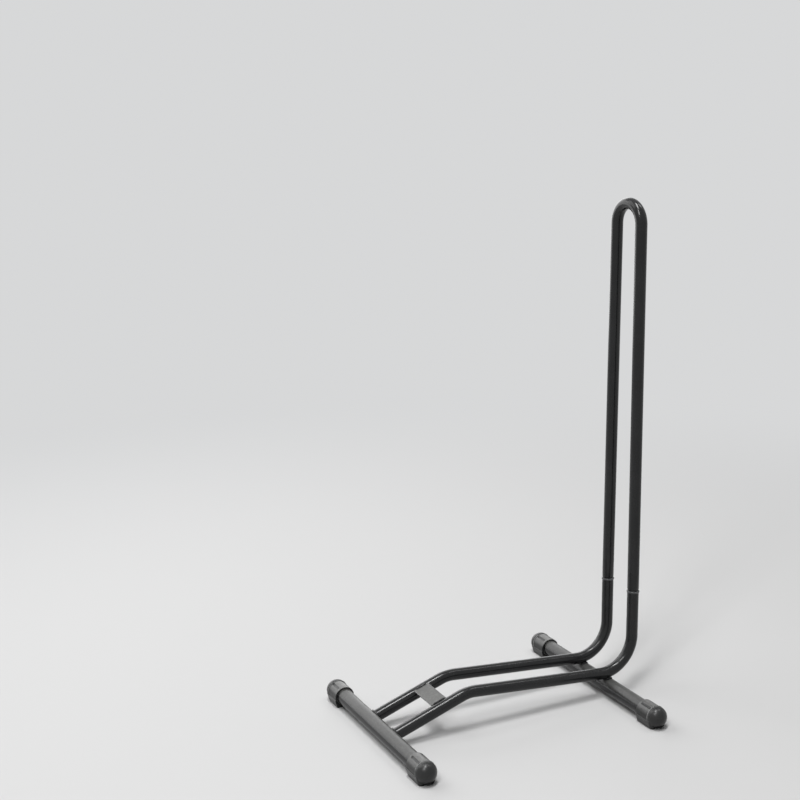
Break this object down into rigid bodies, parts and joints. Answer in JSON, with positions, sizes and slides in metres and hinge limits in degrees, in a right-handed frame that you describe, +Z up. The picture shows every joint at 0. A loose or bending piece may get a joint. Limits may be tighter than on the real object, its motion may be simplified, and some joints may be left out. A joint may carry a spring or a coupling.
{
  "type": "floor bike rack",
  "caption": "Welded tube floor rack that holds one bicycle wheel between two bent rails, with a tall lift-off loop at the rear and plastic feet.",
  "frame": {"origin": "on the floor, under the middle of the overall box", "axes": "+Z up, +X from the front cross tube to the upright loop, +Y across the rack to the far side; the near side is -Y"},
  "size_m": [0.4522, 0.35, 0.768],
  "materials": {
    "loop_coat": "semi-gloss black coating on steel tube",
    "rail_coat": "semi-gloss black coating on steel tube",
    "cross_tube_coat": "satin black coating on steel tube",
    "plate_coat": "satin black coating on flat steel bar",
    "weld_coat": "black coating over weld beads",
    "cap_plastic": "moulded black plastic with a soft sheen"
  },
  "bodies": {
    "base_frame": {"near_rail": "rail_coat", "far_rail": "rail_coat", "front_cross_tube": "cross_tube_coat", "rear_cross_tube": "cross_tube_coat", "tyre_rest_plate": "plate_coat", "front_rail_welds": "weld_coat", "rear_rail_welds": "weld_coat", "plate_welds": "weld_coat", "front_near_end_cap": "cap_plastic", "front_far_end_cap": "cap_plastic", "rear_near_end_cap": "cap_plastic", "rear_far_end_cap": "cap_plastic"},
    "loop": {"upright_loop": "loop_coat"}
  },
  "joints": [
    {"name": "loop_lift", "type": "slide", "parent": "base_frame", "child": "loop", "axis": [0, 0, 1], "range_m": [0, 0.045]}
  ]
}
